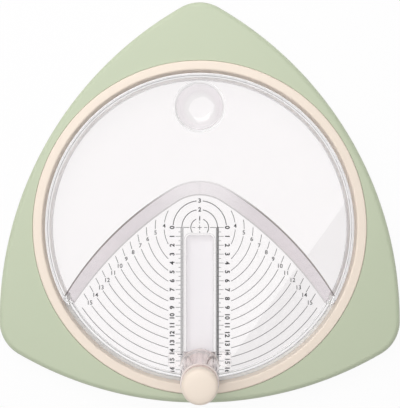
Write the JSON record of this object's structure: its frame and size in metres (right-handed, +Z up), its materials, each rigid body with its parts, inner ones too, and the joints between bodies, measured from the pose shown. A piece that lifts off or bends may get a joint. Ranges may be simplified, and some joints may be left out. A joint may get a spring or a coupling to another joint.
{
  "type": "circle cutter",
  "caption": "Three-cornered green frame with a turning clear disc, a railed slot with a sliding knob and blade, and a finger cup for turning it.",
  "frame": {"origin": "on the resting surface below the centre of the body's outline", "axes": "+Z up, +Y to the corner opposite the knob, +X to the right seen from above"},
  "size_m": [0.2214, 0.2216, 0.05],
  "materials": {
    "green_plastic": "satin moulded",
    "cream_plastic": "satin moulded",
    "clear_plastic": "clear moulded",
    "pad_rubber": "matte",
    "steel": "plain"
  },
  "bodies": {
    "base": {"base_shell": "green_plastic", "retaining_ring": "cream_plastic", "foot_pad_1": "pad_rubber", "foot_pad_2": "pad_rubber", "foot_pad_3": "pad_rubber", "ring_screw_1": "steel", "ring_screw_2": "steel", "ring_screw_3": "steel", "ring_screw_4": "steel", "ring_screw_5": "steel", "ring_screw_6": "steel"},
    "rotor": {"rotor_disc": "clear_plastic"},
    "carriage": {"carriage": "clear_plastic", "keeper_plate": "steel", "keeper_screw_1": "steel", "keeper_screw_2": "steel", "return_spring": "steel"},
    "plunger": {"knob_stem": "cream_plastic", "knob_cap": "cream_plastic", "stem_screw": "steel", "blade_holder": "cream_plastic", "blade": "steel", "blade_screw": "steel"}
  },
  "joints": [
    {"name": "rotor_turn", "type": "hinge", "parent": "base", "child": "rotor", "pos_m": [0, -0.0138, 0.004], "axis": [0, 0, 1], "continuous": true},
    {"name": "carriage_slide", "type": "slide", "parent": "rotor", "child": "carriage", "axis": [0, -1, 0], "range_m": [-0.0656, 0.0044]},
    {"name": "knob_press", "type": "slide", "parent": "carriage", "child": "plunger", "axis": [0, 0, -1], "range_m": [0, 0.002], "stiffness_N_per_m": 300, "springref_m": -0.004, "deforming": ["return_spring"]}
  ]
}
